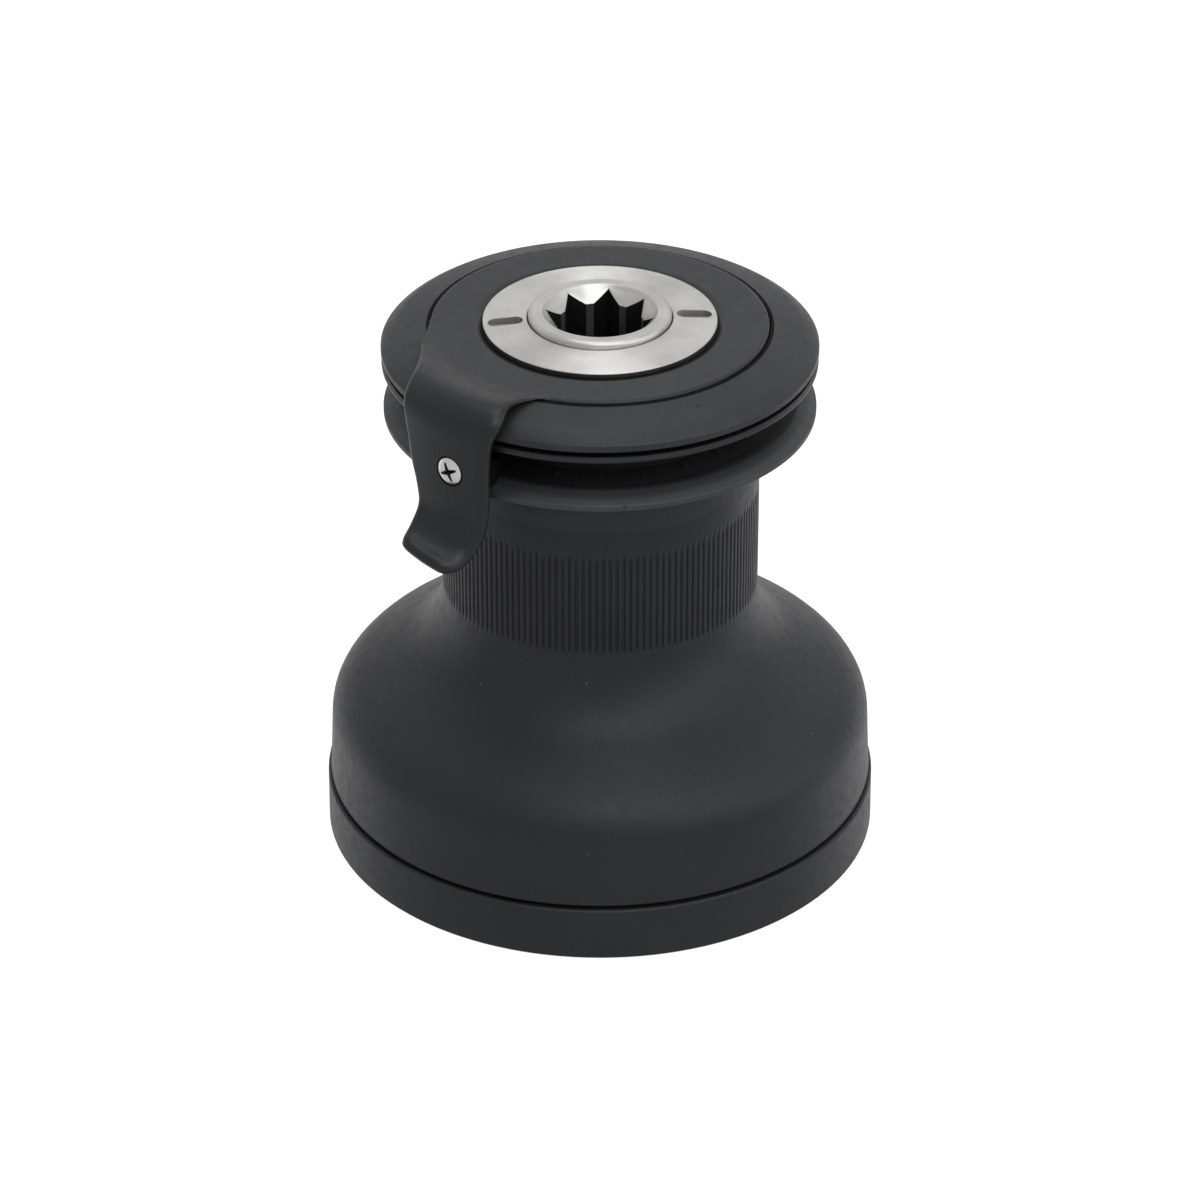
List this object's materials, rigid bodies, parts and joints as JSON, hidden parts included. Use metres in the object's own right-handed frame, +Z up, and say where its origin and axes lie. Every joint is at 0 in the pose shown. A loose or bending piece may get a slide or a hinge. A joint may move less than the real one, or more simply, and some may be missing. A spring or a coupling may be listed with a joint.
{
  "type": "two-speed self-tailing sailing winch",
  "caption": "Black self-tailing sailing winch: stepped drum with ribbed neck, gripping jaws under a domed crown, curved stripper arm, and a star socket for a handle in a steel spindle.",
  "frame": {"origin": "middle of the base's underside, on the deck plane", "axes": "+Z up along the drum's axis, -Y towards the viewer of the picture, stripper arm in the -X -Y quarter"},
  "size_m": [0.1286, 0.1286, 0.1325],
  "materials": {
    "base": "satin black, fine grain",
    "drum": "satin black hard coat",
    "jaws": "satin black hard coat",
    "cover": "satin black",
    "arm": "satin black, slightly pebbled",
    "finger": "black",
    "cap": "fine turned",
    "spindle": "fine turned",
    "fasteners": "plain",
    "gears": "ground",
    "bronze": "bronze",
    "stem": "machined",
    "bearing": "moulded",
    "spring": "spring temper"
  },
  "bodies": {
    "frame": {"base": "base", "foot_bush": "bronze", "stem": "stem", "stem_screws": "fasteners", "spindle_bushes": "bronze", "idler_pin": "gears", "pinion_pin": "gears", "second_shaft": "gears", "gear_spacers": "bearing", "thrust_washers": "bronze", "bearing_spacer": "bearing", "stripper_arm": "arm", "stripper_finger": "finger", "stripper_screw": "fasteners", "retaining_cap": "cap"},
    "drum": {"drum": "drum", "ring_gear": "gears", "upper_jaw": "jaws", "crown_screws": "fasteners", "crown_cover": "cover", "jaw_spring": "spring"},
    "lower_jaw": {"lower_jaw": "jaws"},
    "spindle": {"spindle": "spindle", "second_drive_gear": "gears", "drive_key": "gears", "gear_clip": "spring"},
    "first_gear": {"first_speed_gear": "gears"},
    "spindle_pawl_a": {"spindle_pawl_a": "gears"},
    "spindle_pawl_b": {"spindle_pawl_b": "gears"},
    "idler": {"idler_gear": "gears"},
    "first_pinion": {"first_pinion": "gears"},
    "second_gear": {"second_speed_gear": "gears"},
    "second_pinion": {"second_pinion": "gears"},
    "pinion_pawl_a": {"pinion_pawl_a": "gears"},
    "pinion_pawl_b": {"pinion_pawl_b": "gears"},
    "lower_bearing": {"lower_cage": "bearing", "lower_rollers": "bearing"},
    "upper_bearing": {"upper_cage": "bearing", "upper_rollers": "bearing"}
  },
  "joints": [
    {"name": "drum_spin", "type": "hinge", "parent": "frame", "child": "drum", "pos_m": [0, 0, 0.06], "axis": [0, 0, -1], "continuous": true},
    {"name": "jaw_slide", "type": "slide", "parent": "drum", "child": "lower_jaw", "axis": [0, 0, -1], "range_m": [0, 0.002], "stiffness_N_per_m": 4000, "springref_m": -0.002, "deforming": ["jaw_spring"]},
    {"name": "spindle_spin", "type": "hinge", "parent": "frame", "child": "spindle", "pos_m": [0, 0, 0.06], "axis": [0, 0, -1], "continuous": true},
    {"name": "first_gear_spin", "type": "hinge", "parent": "frame", "child": "first_gear", "pos_m": [0, 0, 0.032], "axis": [0, 0, -1], "continuous": true},
    {"name": "idler_spin", "type": "hinge", "parent": "frame", "child": "idler", "pos_m": [0.00975, 0.02678, 0.032], "axis": [0, 0, -1], "continuous": true},
    {"name": "first_pinion_spin", "type": "hinge", "parent": "frame", "child": "first_pinion", "pos_m": [-0.006, 0.0355, 0.032], "axis": [0, 0, -1], "continuous": true},
    {"name": "second_gear_spin", "type": "hinge", "parent": "frame", "child": "second_gear", "pos_m": [-0.01231, -0.03383, 0.019], "axis": [0, 0, -1], "continuous": true},
    {"name": "second_pinion_spin", "type": "hinge", "parent": "frame", "child": "second_pinion", "pos_m": [-0.01231, -0.03383, 0.025], "axis": [0, 0, -1], "continuous": true},
    {"name": "lower_bearing_spin", "type": "hinge", "parent": "frame", "child": "lower_bearing", "pos_m": [0, 0, 0.0635], "axis": [0, 0, -1], "continuous": true},
    {"name": "upper_bearing_spin", "type": "hinge", "parent": "frame", "child": "upper_bearing", "pos_m": [0, 0, 0.0889], "axis": [0, 0, -1], "continuous": true},
    {"name": "spindle_pawl_a_fold", "type": "hinge", "parent": "spindle", "child": "spindle_pawl_a", "pos_m": [0.0115, 0, 0.032], "axis": [0, 0, -1], "range_deg": [0, 12], "stiffness_Nm_per_rad": 0.02, "springref_deg": -17.19},
    {"name": "spindle_pawl_b_fold", "type": "hinge", "parent": "spindle", "child": "spindle_pawl_b", "pos_m": [-0.0115, 0, 0.032], "axis": [0, 0, -1], "range_deg": [0, 12], "stiffness_Nm_per_rad": 0.02, "springref_deg": -17.19},
    {"name": "pinion_pawl_a_fold", "type": "hinge", "parent": "second_pinion", "child": "pinion_pawl_a", "pos_m": [-0.00401, -0.03383, 0.019], "axis": [0, 0, 1], "range_deg": [0, 7], "stiffness_Nm_per_rad": 0.02, "springref_deg": -17.19},
    {"name": "pinion_pawl_b_fold", "type": "hinge", "parent": "second_pinion", "child": "pinion_pawl_b", "pos_m": [-0.02061, -0.03383, 0.019], "axis": [0, 0, 1], "range_deg": [0, 7], "stiffness_Nm_per_rad": 0.02, "springref_deg": -17.19}
  ],
  "couplings": [
    {"joint": "spindle_spin", "follows": "drum_spin", "ratio": 2.3077},
    {"joint": "first_gear_spin", "follows": "drum_spin", "ratio": 2.3077},
    {"joint": "idler_spin", "follows": "drum_spin", "ratio": -5},
    {"joint": "first_pinion_spin", "follows": "drum_spin", "ratio": 5},
    {"joint": "second_pinion_spin", "follows": "drum_spin", "ratio": 5},
    {"joint": "second_gear_spin", "follows": "drum_spin", "ratio": -2.7273},
    {"joint": "lower_bearing_spin", "follows": "drum_spin", "ratio": 0.54482},
    {"joint": "upper_bearing_spin", "follows": "drum_spin", "ratio": 0.54482}
  ]
}
